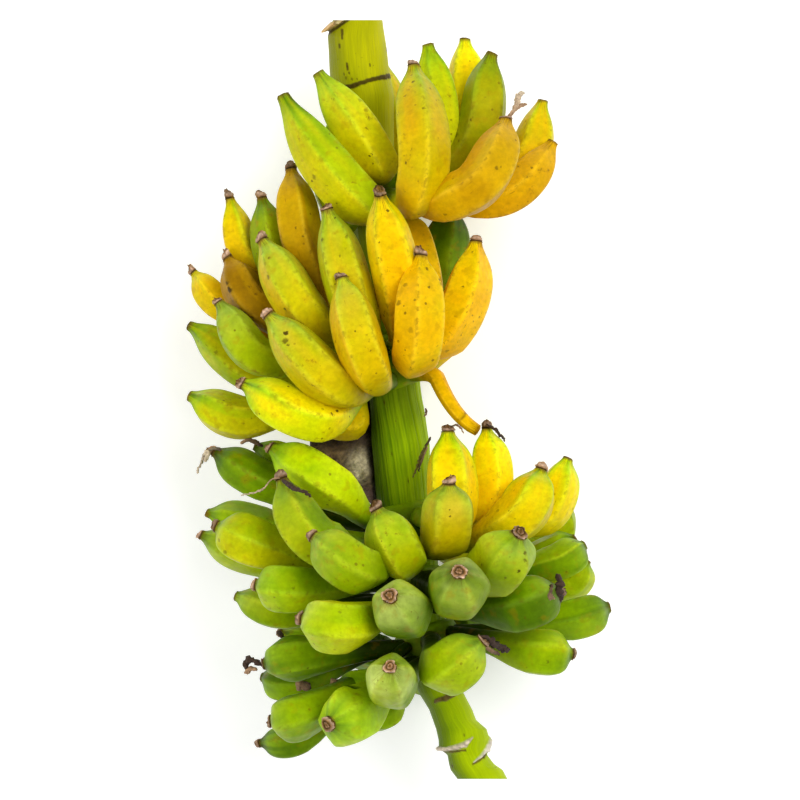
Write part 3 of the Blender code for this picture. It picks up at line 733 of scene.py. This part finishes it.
def skin_material(name, speckle, spots):
    """Banana skin: colours from the points, with mottling, brown specks, scuffed ribs and a satin finish."""
    look = Look(name)
    tip, rib, zone = look.split(look.attribute("marks"))
    shade = look.spread(look.noise(260, 4.0, 0.6), 0.3, 0.7, 0.89, 1.08)
    clouds = look.spread(look.noise(48, 3.0), 0.3, 0.7, 0.91, 1.06)
    colour = look.shaded(look.skin, look.times(shade, clouds))
    stains = look.spread(look.noise(95, 3.0, 0.55), 0.55, 0.70, 0.0, 0.38)
    colour = look.blend(look.times(stains, speckle), colour, STAIN)
    cells = look.node("TexVoronoi", Vector=look.place, Scale=190.0)
    lot = look.split(cells.outputs["Color"])[0]
    size = look.times(look.maths("SUBTRACT", lot, 0.55), 0.55)
    dots = look.spread(look.maths("SUBTRACT", cells.outputs["Distance"], size), 0.05, -0.03, 0.0, 0.75)
    dots = look.times(dots, look.spread(look.noise(60), 0.46, 0.60))
    lines = look.lines(80.0, 560.0)
    scratches = look.spread(lines, 0.62, 0.72, 0.0, 0.7)
    scratches = look.times(scratches, look.spread(look.noise(60), 0.54, 0.64))
    blots = look.spread(look.noise(190, 5.0, 0.75), 0.58, 0.70, 0.0, 0.85)
    blots = look.times(blots, look.spread(look.noise(36), 0.50, 0.64))
    rib_wear = look.times(rib, look.spread(look.noise(170, 3.0, 0.6), 0.48, 0.66, 0.0, 0.6))
    runs = look.times(look.spread(lines, 0.48, 0.62, 0.0, 0.85), zone)
    brown = look.times(look.largest(dots, scratches, blots, rib_wear, runs), speckle)
    colour = look.blend(brown, colour, RUSSET)
    holes = spot_mask(look, spots)
    colour = look.blend(holes, colour, SPOT_BROWN)
    rough = look.spread(look.noise(140), 0.3, 0.7, 0.43, 0.57)
    rough = look.maths("ADD", rough, look.times(tip, 0.35))
    soft = look.bump(look.noise(90, 3.0), 0.45, 0.0014)
    dents = look.maths("SUBTRACT", look.noise(800, 3.0), look.times(look.largest(brown, holes), 0.8))
    fine = look.bump(dents, 0.35, 0.0004, Normal=soft)
    crumpled = look.times(look.noise(900, 4.0, 0.7), tip)
    normal = look.bump(crumpled, 1.0, 0.0012, Normal=fine)
    return look.finish(Base_Color=colour, Roughness=rough, Normal=normal, Specular_IOR_Level=0.25,
                       Specular_Tint=(1.0, 0.95, 0.10, 1.0))


SPOT_WOBBLE = 0.002     # how ragged the larger marks are
# Larger marks on each hand: across and down the plan, radius in mm, strength
SPOTS = {
    "hand_1": ((369, 156, 1.3, 0.9), (372, 154, 0.8, 0.8), (373, 164, 1, 0.8), (314, 177, 2.2, 0.5),
        (312, 181, 1.3, 0.7), (406, 163, 1.1, 0.8), (424, 108, 1.3, 0.6), (497, 168, 1.6, 0.6),
        (501, 167, 1, 0.6), (471, 120, 0.9, 0.7), (413, 82, 1.6, 0.7), (360, 100, 1.8, 0.4),
        (366, 110, 1.5, 0.4), (499, 124, 1.3, 0.7), (532, 168, 1.2, 0.6), (445, 215, 1.6, 0.5),
        (405, 96, 1.2, 0.5), (430, 88, 1, 0.5)),
    "hand_2": ((229, 290, 2.9, 1), (227, 283, 2, 0.8), (286, 333, 2, 0.95), (285, 341, 2.6, 0.7),
        (288, 345, 1.2, 0.7), (388, 211, 1.5, 0.9), (379, 242, 0.9, 0.8), (427, 269, 1.8, 0.7),
        (399, 303, 2.2, 0.6), (405, 285, 2.2, 0.5), (415, 300, 1.4, 0.6), (429, 287, 1, 0.8),
        (411, 330, 2.8, 0.35), (355, 331, 1, 0.8), (370, 351, 0.9, 0.7), (238, 309, 1.3, 0.8),
        (245, 313, 1.6, 0.9), (252, 317, 1.3, 0.8), (335, 218, 1.1, 0.9), (347, 237, 1.8, 0.45),
        (322, 239, 1.7, 0.6), (340, 256, 1.2, 0.5), (268, 277, 2, 0.6), (285, 309, 1.8, 0.8),
        (296, 228, 1, 0.7), (303, 236, 0.9, 0.7), (337, 411, 1.6, 0.9), (332, 414, 1.2, 0.8),
        (463, 287, 1, 0.7), (447, 351, 1.8, 0.5), (216, 352, 1.7, 0.5), (472, 252, 1.2, 0.6)),
    "hand_3": ((387, 535, 0.9, 0.7), (390, 545, 1.1, 0.7), (381, 541, 0.8, 0.7), (358, 545, 0.9, 0.6),
        (450, 510, 0.9, 0.8), (450, 516, 0.8, 0.8), (497, 511, 1.8, 0.5), (327, 505, 1.2, 0.5),
        (246, 497, 1.6, 0.6), (309, 492, 1.1, 0.5)),
    "hand_4": ((225, 552, 2, 0.5), (219, 540, 1.5, 0.5), (519, 571, 1.6, 0.9), (525, 553, 1.8, 0.7),
        (525, 560, 1.6, 0.7), (418, 618, 1.3, 0.45), (340, 612, 1.2, 0.45), (505, 578, 1.1, 0.6),
        (293, 588, 1.5, 0.4)),
    "hand_5": ((477, 668, 1.2, 0.5), (548, 662, 1.3, 0.5), (386, 690, 1.2, 0.45), (308, 668, 1, 0.7),
        (290, 672, 1, 0.6)),
}


def placed_spots(mesher, hand):
    """A hand's larger marks as points of its surface, where each is seen from straight above."""
    surface = BVHTree.FromPolygons(np.concatenate(mesher.points).tolist(), mesher.faces)
    eye = Vector((*CENTRED_BY, AXIS_HEIGHT + EYE_HEIGHT))
    spots = []
    for across, down, radius_mm, strength in SPOTS[hand]:
        point = surface.ray_cast(eye, Vector(place(across, down, 0.0)) - eye)[0]
        if point is not None:
            spots.append((point, radius_mm * MILLIMETRE, strength))
    return spots


def make_hands():
    """The five hands, each a finer piece in place of its solid."""
    for number, (name, fingers) in enumerate(FINGERS.items()):
        hand = HANDS[name]
        mesher = Mesher()
        add_crown(mesher, hand, 50 + number)
        for index, finger in enumerate(fingers):
            add_finger(mesher, Finger(*finger), hand, index)
        if name == "hand_2":
            add_finger(mesher, Finger(*STERILE_FINGER), hand, 0, sterile=True)
        material = skin_material(hand.look, hand.speckle, placed_spots(mesher, name))
        piece = mesher.make(name + "_fruit", material)
        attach(piece, "root")
        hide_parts(name)


# The stalk's look down the plan: its ridges, then its grooves
STALK_COLOURS = (
    (20, (178, 176, 3), (140, 144, 2)),
    (110, (178, 176, 3), (132, 142, 2)),
    (300, (152, 176, 2), (92, 120, 2)),
    (450, (154, 186, 2), (84, 124, 2)),
    (640, (122, 156, 2), (66, 98, 2)),
    (700, (176, 198, 2), (116, 152, 2)),
    (779, (178, 198, 2), (112, 146, 2)),
)
STALK_SPOT = (66, 50, 10)
FLECK = (92, 78, 20)
FLESH = (206, 196, 132)
VESSEL = (150, 118, 66)
CUT_RIM = (96, 70, 36)
# The cut ends inward: share of the stalk's radius, and how much of the dark rim's colour
CUT_STEPS = ((0.97, 0.9), (0.90, 0.5), (0.8, 0.1), (0.65, 0), (0.5, 0), (0.35, 0), (0.2, 0.15), (0.08, 0.3))
# Fibres along the stalk: how many go round, their height and where they start
FIBRES = ((9, 0.5, 0.4), (17, 0.7, 1.9), (29, 0.7, 4.0), (46, 0.6, 2.2), (61, 0.5, 0.9))
# Places down the plan, and how strong the fibres and the painted shade on the stalk's left side are there
FIBRE_STRENGTH = ((20, 120, 350, 560, 700, 779), (0.15, 0.3, 0.9, 1.0, 0.35, 0.25))
LEFT_SHADE = ((20, 110, 300, 460, 640, 779), (0.6, 0.4, 0.8, 0.85, 0.85, 0.85))
# The middle hand's shade on the stalk: where it starts down the plan, ends, and begins to fade
HAND_SHADE = (330, 455, 395)
STALK_ROUND = 0.022     # the stalk's radius in metres, for the marks along it
# Papery ridges where leaves and bracts were, and low dark lines just below the lip at the top and the two
# flaps
# at the bottom: height in mm, colour, and a line of (across, down, half width)
SCARS = (
    (0.5, (60, 40, 16), ((338, 89, 3.0), (352, 86, 3.4), (368, 80.5, 2.8), (378, 78, 3.0), (392, 75.5, 3.6))),
    (6.6, (214, 172, 112), ((318, 37, 4.0), (328, 28.5, 3.8), (344, 18, 2.6))),
    (0.2, (66, 54, 18), ((322, 39.5, 2.0), (332, 31, 1.8), (349, 19.5, 1.6))),
    (2.6, (216, 198, 180),
     ((436, 748, 2.2), (446, 749, 2.6), (456, 747.5, 3.4), (465, 744.5, 3.8), (472, 737.5, 0.9))),
    (0.0, (96, 84, 30), ((440, 752, 1.4), (452, 752, 1.5), (466, 750, 1.2))),
    (2.6, (224, 212, 200),
     ((492, 733, 2.6), (491, 741, 3.2), (487.5, 748, 2.8), (482, 755, 1.6), (474, 762, 0.8))),
    (0.0, (100, 84, 30), ((486, 755, 1.6), (479, 761, 1.4), (473, 764, 1.2))),
    (1.8, (104, 80, 48), ((436, 701, 2.4), (446, 698, 4.0), (456, 692, 3.6), (465, 686, 2.4))),
)
# How far a papery flap hangs towards the stalk's lower end, for each mm that it stands out beyond SCAR_LOW
SCAR_DROOP = 0.7
SCAR_LOW = 1.5
# The stretch of the plan without scars, which is made with longer steps
STALK_PLAIN = (100, 675)
STALK_SPOTS = ((342, 32, 2), (342, 37, 1.6), (339.5, 46, 1.5), (347, 65, 1.6), (347.5, 68, 1.6),
    (370, 65, 1.1), (387, 49, 1.8), (344, 74, 0.9), (349, 73, 0.9), (346, 78, 1), (352, 79, 0.9),
    (357, 79, 0.8), (384, 402, 1.4), (392, 455, 0.9), (408, 480, 1), (464, 735, 0.9), (452, 766, 1),
    (484, 757, 1.2))


def near_line(points, line):
    """How near points, seen in the plan, are to a line of (across, down, half width): 1 on it, 0 past it."""
    across, down = seen(points)
    nearest = np.zeros(across.shape)
    for (x0, y0, w0), (x1, y1, w1) in zip(line[:-1], line[1:]):
        wide = x1 - x0
        tall = y1 - y0
        share = np.clip(((across - x0) * wide + (down - y0) * tall) / (wide ** 2 + tall ** 2), 0, 1)
        away = np.hypot(across - x0 - share * wide, down - y0 - share * tall)
        nearest = np.maximum(nearest, ease(1.0, 0.35, away / (w0 + share * (w1 - w0))))
    return nearest


def fibre_heights(downs, angles):
    """How far the stalk's fibres stand out, from about -1 to 1, at places down the plan and round it."""
    turned = angles + 0.25 * np.sin(downs / 70.0)[:, None]
    total = np.zeros(turned.shape)
    for count, size, phase in FIBRES:
        drift = 0.5 * np.sin(downs / (60.0 + count) + phase)[:, None]
        total += size * np.sin(count * turned + phase + drift)
    return total / 1.5 * np.interp(downs, *FIBRE_STRENGTH)[:, None]


def make_stalk():
    """The cut stalk with its fibres, scars, dark spots and pale cut ends."""
    angles = turn(216)
    upper = np.linspace(STALK_TOP, STALK_PLAIN[0], 110, endpoint=False)
    middle = np.linspace(*STALK_PLAIN, 190, endpoint=False)
    downs = np.concatenate([upper, middle, np.linspace(STALK_PLAIN[1], STALK_END, 120)])
    plain = stalk_rings(downs, 0.0, angles)
    right = np.cos(angles)
    fibres = fibre_heights(downs, angles)
    extra = 0.30 * fibres + 0.5 * waves(plain, 0.05, 31)
    bright = stalk_colours(downs, 1.0)[:, None, :]
    deep = stalk_colours(downs, 0.0)[:, None, :]
    # Painted light: the term with right makes the stalk lighter towards its right side, where the key light
    # falls
    streaks = 0.55 + 0.22 * fibres + 0.18 * waves(plain, 0.03, 32) + 0.34 * right
    colour = mix(deep, bright, np.clip(streaks, 0, 1))
    # Painted shade: the stalk is darkened on its left side and in the middle hand's shade
    shaded = ease(-0.15, -0.95, right) * np.interp(downs, *LEFT_SHADE)[:, None]
    under_hand = ease(*HAND_SHADE[1:], downs) * (downs > HAND_SHADE[0])
    shaded = np.maximum(shaded, 0.6 * under_hand[:, None] * ease(0.95, 0.45, right))
    colour = mix(colour, deep * 0.45, shaded)
    for number, (height, shade, line) in enumerate(SCARS):
        near = near_line(plain + 0.0004 * waves(plain, 0.005, 40 + number)[..., None], line)
        extra = extra + near * height * (0.9 + 0.25 * waves(plain, 0.005, 50 + number))
        tone = 0.85 + 0.25 * waves(plain, 0.004, 60 + number)
        colour = mix(colour, linear(shade) * tone[..., None], np.clip(near * 1.5, 0, 1) * 0.95)
    for across, down, size in STALK_SPOTS:
        spot = near_line(plain, ((across, down - size, size), (across + 0.3, down + size, size)))
        colour = mix(colour, linear(STALK_SPOT), 0.9 * spot * (plain[..., 2] > AXIS_HEIGHT))
    rings = stalk_rings(downs, extra, angles)
    rings[..., 1] -= SCAR_DROOP * MILLIMETRE * np.maximum(extra - SCAR_LOW, 0)
    marks = np.zeros(rings.shape)
    marks[..., 2] = np.clip(0.5 + 0.5 * fibres, 0, 1)
    length = (downs[-1] - downs) * PLAN_UNIT
    uv = np.stack(np.broadcast_arrays(length[:, None], angles * STALK_ROUND), axis=-1)
    mesher = Mesher()
    mesher.tube(*add_cut_ends([values[::-1] for values in (rings, colour, marks, uv)]))
    piece = mesher.make("stalk_skin", stalk_material())
    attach(piece, "root")
    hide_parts("stalk")


def add_cut_ends(skin):
    """Pale flesh with browned vessels on the two flat cuts. The skin is as in extended."""
    for _ in range(2):
        ring = skin[0][-1]
        centre = ring.mean(axis=0)
        inner = np.array([centre + (ring - centre) * share for share, _ in CUT_STEPS])
        vessels = np.clip(0.5 + 0.6 * waves(inner, 0.006, 61), 0, 1)
        rim = np.array([[rim] for _, rim in CUT_STEPS]) * np.ones(len(ring))
        flesh = mix(mix(linear(FLESH), linear(VESSEL), vessels), linear(CUT_RIM), rim)
        skin = [values[::-1] for values in extended(skin, inner, flesh, 0.4)]
    return skin


def stalk_material():
    """Fresh stalk: fibres along it, small brown flecks, satin."""
    look = Look("stalk_fibres")
    fibre = look.lines(35.0, 900.0)
    colour = look.shaded(look.skin, look.spread(fibre, 0.25, 0.75, 0.86, 1.12))
    flecks = look.times(look.spread(look.noise(420), 0.66, 0.74), look.spread(look.noise(40), 0.45, 0.65))
    colour = look.blend(look.times(flecks, 0.8), colour, FLECK)
    rough = look.spread(fibre, 0.3, 0.7, 0.42, 0.62)
    return look.finish(Base_Color=colour, Roughness=rough, Normal=look.bump(fibre, 0.5, 0.0010),
                       Specular_IOR_Level=0.22, Specular_Tint=(1.0, 0.97, 0.10, 1.0))


def dry_material(name):
    """Dried plant tissue: colours from the points, crumpled and matt."""
    look = Look(name)
    crumple = look.noise(380, 4.0, 0.65)
    colour = look.shaded(look.skin, look.spread(crumple, 0.3, 0.7, 0.65, 1.25))
    return look.finish(Base_Color=colour, Roughness=0.85, Normal=look.bump(crumple, 0.8, 0.0015))


# The dried bract in the plan
BRACT_TOP = (439, 398)      # how far down it starts at its left and its right
BRACT_END = 503
BRACT_LEFT = (306, 360)     # its left edge at its top and its end
BRACT_LOBE = (360, 466)     # the middle of its pale bulge
BRACT_THICK = 0.0009
TORN = 0.0022           # how ragged its edges are


def make_bract():
    """The dried papery bract: a thin crumpled sheet with torn edges, pale where it bulges, and with painted
    shade in the gutter by the stalk.
    """
    share_across, share_down = np.meshgrid(np.linspace(0, 1, 90), np.linspace(0, 1, 110))
    start = BRACT_TOP[0] + (BRACT_TOP[1] - BRACT_TOP[0]) * ease(0.1, 0.8, share_across)
    down = start + (BRACT_END - start) * share_down
    left = np.interp(down, (BRACT_TOP[0], BRACT_END), BRACT_LEFT)
    axis, half_width, _ = stalk_row(down)
    across = left + (axis - half_width + 1.5 - left) * share_across
    flat = place(across, down, -6.0)
    lobe = np.exp(-((across - BRACT_LOBE[0]) / 11) ** 2 - ((down - BRACT_LOBE[1]) / 16) ** 2)
    # The gutter next to the stalk: the sheet dips there and gets painted shade
    shaded_gutter = ease(0.80, 0.97, share_across)
    height = 0.010 * lobe + 0.004 * np.abs(waves(flat, 0.034, 71)) - 0.006 * shaded_gutter
    height += 0.0014 * waves(flat, 0.011, 72) + 0.0006 * waves(flat, 0.005, 73)
    height *= ease(0.0, 0.06, share_across)
    flat[..., 1] += TORN * waves(flat, 0.009, 74) * (np.abs(share_down - 0.5) * 2) ** 4
    flat[..., 0] += TORN * waves(flat, 0.009, 75) * (1 - share_across) ** 4
    front = flat + height[..., None] * np.array([0, 0, 1])
    tone = 0.35 + 0.35 * waves(flat, 0.016, 76) + 0.25 * waves(flat, 0.006, 77)
    colour = mix(linear((74, 54, 30)), linear((136, 112, 70)), np.clip(tone, 0, 1))
    pale = np.clip(lobe * (1.1 + 0.3 * waves(flat, 0.008, 78)), 0, 1)
    upper = 0.85 * ease(BRACT_LOBE[1] - 14, BRACT_LOBE[1] - 24, down)
    lower = 0.85 * ease(BRACT_LOBE[1] + 18, BRACT_LOBE[1] + 26, down)
    # The last blend is painted shade, darkening the gutter by the stalk to near black
    for shade, share in (((200, 188, 152), pale), ((52, 36, 20), upper), ((104, 80, 74), lower),
                         ((38, 26, 14), 0.9 * shaded_gutter)):
        colour = mix(colour, linear(shade), share)
    loop = np.concatenate([front, front[:, ::-1] - np.array([0, 0, BRACT_THICK])], axis=1)
    loop_colour = np.concatenate([colour, colour[:, ::-1] * 0.7], axis=1)
    mesher = Mesher()
    mesher.tube(loop[:, ::-1], loop_colour[:, ::-1])
    piece = mesher.make("bract_paper", dry_material("dried_bract"))
    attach(piece, "root")
    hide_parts("bract")


# Dried flower remains and threads: half width in mm, colours at both ends, and points of the plan
BROWN = (60, 40, 26)
TAN = (170, 134, 98)
PALE = (206, 188, 158)
DRIED = (
    (1.5, BROWN, PALE,
     ((218, 458, 16), (221, 449, 20), (212, 448, 24), (204, 454, 24), (201, 464, 18), (196, 474, 12))),
    (2.2, PALE, PALE, ((203, 456, 24), (208, 450, 26), (206, 463, 22))),
    (2.2, BROWN, BROWN,
     ((282, 480, 96), (292, 487, 112), (300, 490, 118), (306, 492, 117), (311, 497, 113))),
    (0.8, TAN, PALE,
     ((281, 478, 98), (272, 478, 96), (264, 489, 88), (252, 494, 78), (240, 495, 66))),
    (2.2, TAN, BROWN, ((240, 444, 24), (248, 439, 26), (256, 442, 22), (262, 446, 16))),
    (3.2, BROWN, BROWN,
     ((556, 574, 104), (561, 582, 112), (558, 591, 108), (560, 600, 100), (555, 607, 92))),
    (2.6, BROWN, TAN, ((552, 584, 112), (549, 596, 118), (556, 604, 104))),
    (2.8, BROWN, BROWN,
     ((479, 636, 128), (488, 638, 124), (494, 645, 116), (501, 647, 104), (508, 650, 92))),
    (1.8, TAN, BROWN, ((481, 644, 128), (490, 650, 118), (500, 655, 104))),
    (2.8, BROWN, BROWN,
     ((264, 666, 60), (256, 662, 60), (249, 659, 56), (244, 665, 52), (250, 672, 50))),
    (2.2, TAN, TAN, ((258, 670, 56), (250, 668, 54), (246, 674, 48))),
    (2.6, TAN, PALE,
     ((508, 117, 88), (514, 111, 86), (517, 103, 80), (518, 96, 72), (523, 92, 64))),
    (1.7, TAN, TAN, ((515, 110, 85), (520, 106, 77), (525, 104, 66))),
    (1.45, BROWN, (124, 112, 34), ((431, 436, 34), (426, 446, 34), (421, 457, 32), (413, 478, 26))),
    (1.0, TAN, BROWN, ((428, 446, 35), (422, 459, 32), (418, 472, 29))),
    (1.5, BROWN, BROWN, ((486, 424, 56), (495, 429, 60), (503, 437, 54), (505, 443, 48))),
    (1.0, BROWN, TAN, ((503, 453, 54), (508, 461, 50), (511, 470, 44))),
    (0.9, BROWN, TAN, ((450, 427, 84), (455, 424, 84), (460, 427, 82), (464, 434, 78))),
    (0.8, PALE, PALE, ((350, 515, 30), (356, 515, 34), (363, 517, 40))),
    (4.6, TAN, BROWN, ((296, 684, 42), (303, 686, 46), (311, 687, 44))),
    (3.8, TAN, BROWN, ((330, 683, 58), (337, 684, 60), (343, 687, 58))),
    (2.2, BROWN, TAN, ((312, 690, 44), (318, 698, 42), (322, 706, 40))),
    (2.0, BROWN, BROWN, ((277, 632, 8), (281, 634, 12), (284, 639, 10))),
    (1.0, (96, 60, 70), TAN, ((425, 408, 16), (427, 412, 17), (424, 416, 17))),
)
KNOBBLY_FROM = 2.7      # half width in mm from which a dried strand is a chain of knobs


def add_strand(mesher, half_width, first, last, plan_points, seed):
    """A crumpled dried strand through points of the plan."""
    draw = np.random.default_rng(seed)
    points = np.array([place(*point) for point in plan_points])
    spans = np.concatenate([[0], np.cumsum(np.linalg.norm(np.diff(points, axis=0), axis=1))])
    steps = max(14, int(spans[-1] / 0.0012))
    places = np.linspace(0, spans[-1], steps)
    padded = np.pad(table_at(places, spans, points), ((2, 2), (0, 0)), mode="edge")
    line = sum(padded[shift:shift + steps] for shift in range(5)) / 5
    line += 0.0005 * draw.normal(size=line.shape) * np.linspace(0.2, 1.0, steps)[:, None]
    _, across, over = frames(line, (0.2, 0.3, 1.0))
    angles = turn(14)
    width = half_width * MILLIMETRE * (0.75 + 0.35 * draw.random(steps))
    width *= np.sin(np.linspace(0.45, math.pi - 0.35, steps)) ** 0.6
    knobs = 0.3 * np.sin(places / 0.0013 + draw.uniform(0, 6))
    width *= 1 + knobs * (half_width > KNOBBLY_FROM)
    turned = angles + np.linspace(0, draw.uniform(1, 4), steps)[:, None]
    rough = 0.8 + 0.4 * draw.random((steps, len(angles)))
    reach = width[:, None] * (0.55 + 0.45 * np.abs(np.cos(turned))) * rough
    rings = around_line(line, across, over, reach, angles)
    share = np.linspace(0, 1, steps)[:, None] + 0.4 * (rough - 1)
    colour = mix(linear(first), linear(last), np.clip(share, 0, 1))
    mesher.tube(rings, colour * rough[..., None])


def make_dried_flowers():
    """Withered flower remains on tips and loose threads, as one dry piece."""
    mesher = Mesher()
    for number, strand in enumerate(DRIED):
        add_strand(mesher, *strand, 300 + number)
    piece = mesher.make("dried_flowers", dry_material("dried_flower"))
    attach(piece, "root")


FLOOR = 6.0                     # half the floor's width
LIT_POINT = (0.0, 0.0, 0.15)    # where the lights are turned to


def make_floor():
    """A plain pale floor."""
    mesh = bpy.data.meshes.new("floor")
    corners = [(-FLOOR, -FLOOR, 0), (FLOOR, -FLOOR, 0), (FLOOR, FLOOR, 0), (-FLOOR, FLOOR, 0)]
    mesh.from_pydata(corners, [], [(0, 1, 2, 3)])
    white = (1.0, 1.0, 1.0, 1.0)
    look = Look("floor")
    mesh.materials.append(look.finish(Base_Color=(0.97, 0.97, 0.97, 1.0), Roughness=0.9, Emission_Color=white,
                                      Emission_Strength=0.22))
    floor = add_object("floor", mesh)
    floor.location.z = -0.0002


def area_light(name, position, size, power):
    """A soft square light that faces the middle of the bunch."""
    data = bpy.data.lights.new(name, "AREA")
    data.shape = "SQUARE"
    data.size = size
    data.energy = power
    light = add_object(name, data)
    light.location = position
    light.rotation_mode = "QUATERNION"
    light.rotation_quaternion = (Vector(LIT_POINT) - light.location).to_track_quat("-Z", "Y")


def make_light():
    """Soft studio light, strongest from the upper right of the view."""
    world = bpy.data.worlds.new("studio")
    world.use_nodes = True
    background = world.node_tree.nodes["Background"]
    background.inputs["Color"].default_value = (1.0, 1.0, 1.0, 1.0)
    background.inputs["Strength"].default_value = 0.58
    bpy.context.scene.world = world
    area_light("key", (1.1, 0.9, 2.4), 1.4, 46.0)
    area_light("fill", (-1.6, -0.2, 1.9), 2.0, 26.0)


def make_camera():
    """Straight above the plan's middle, as far away as the plan's eye."""
    data = bpy.data.cameras.new("camera")
    data.sensor_width = 36.0
    data.lens = data.sensor_width * EYE_HEIGHT / (2 * PLAN_MIDDLE[0] * PLAN_UNIT)
    camera = add_object("camera", data)
    camera.location = (*CENTRED_BY, AXIS_HEIGHT + EYE_HEIGHT)
    bpy.context.scene.camera = camera


bpy.context.scene.view_settings.view_transform = "Standard"
make_camera()
make_hands()
make_stalk()
make_bract()
make_dried_flowers()
make_floor()
make_light()
bpy.context.view_layer.update()
